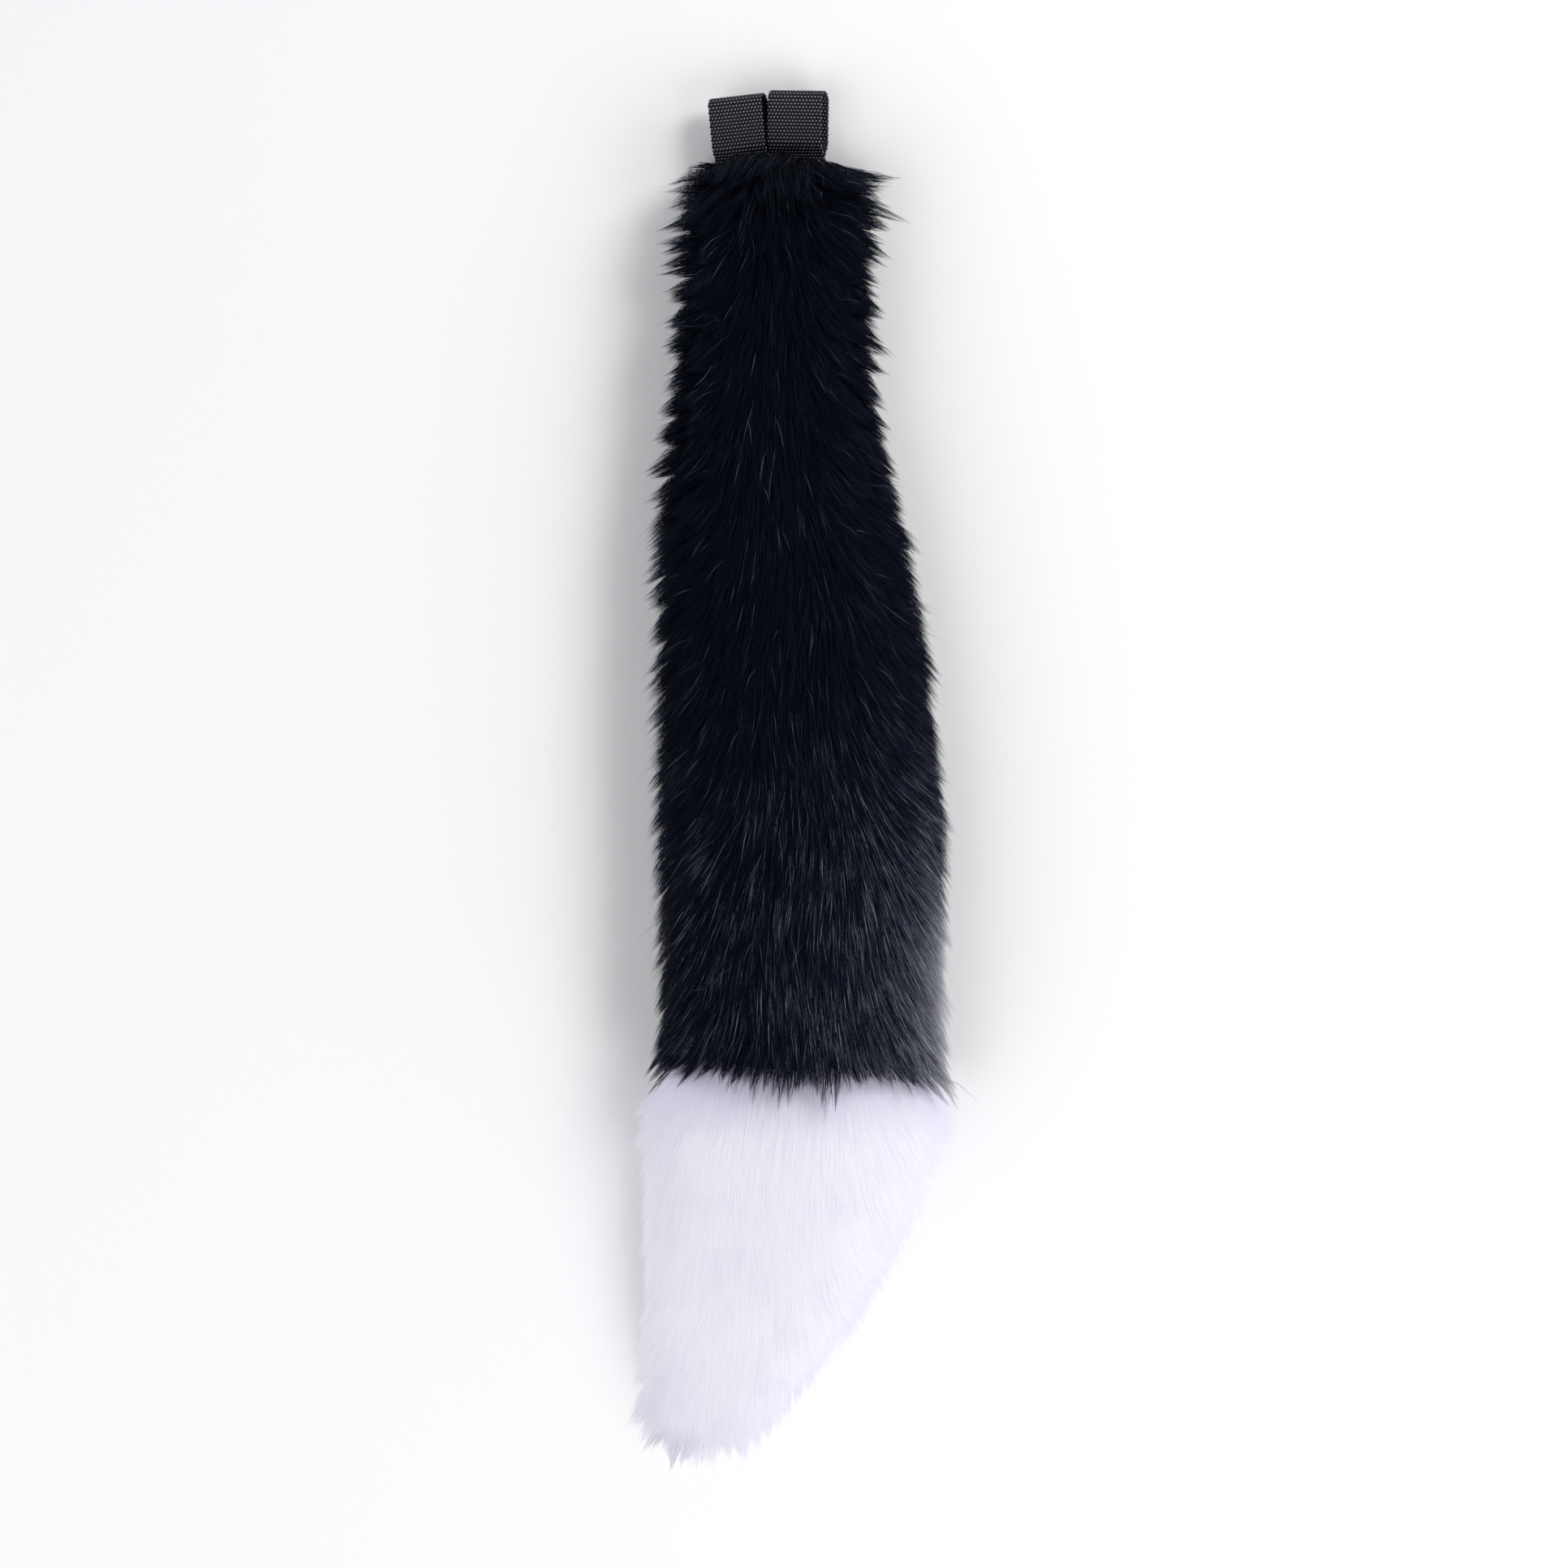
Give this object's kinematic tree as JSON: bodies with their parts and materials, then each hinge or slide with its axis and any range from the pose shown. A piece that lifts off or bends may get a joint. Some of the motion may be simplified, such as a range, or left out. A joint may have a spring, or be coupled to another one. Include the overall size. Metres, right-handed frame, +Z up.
{
  "type": "costume animal tail",
  "caption": "Softly stuffed long-pile fur costume tail, black with a tapered white tip, lying flat, with folded webbing loops at its top for a waist belt.",
  "frame": {"origin": "middle of the underside of the whole tail's box, on the surface that it lies on", "axes": "+Y along the tail towards its belt loops, +X to the right seen from above, +Z up from the surface"},
  "size_m": [0.1582, 0.6542, 0.0628],
  "materials": {
    "black_fur": "glossy long-pile faux fur, near black with a cool tint",
    "white_fur": "soft long-pile faux fur, cool white",
    "black_webbing": "ribbed woven flat webbing, black, low sheen"
  },
  "bodies": {
    "root": {"black_fur_body": "black_fur", "white_fur_tip": "white_fur", "left_belt_loop": "black_webbing", "right_belt_loop": "black_webbing"}
  },
  "joints": []
}
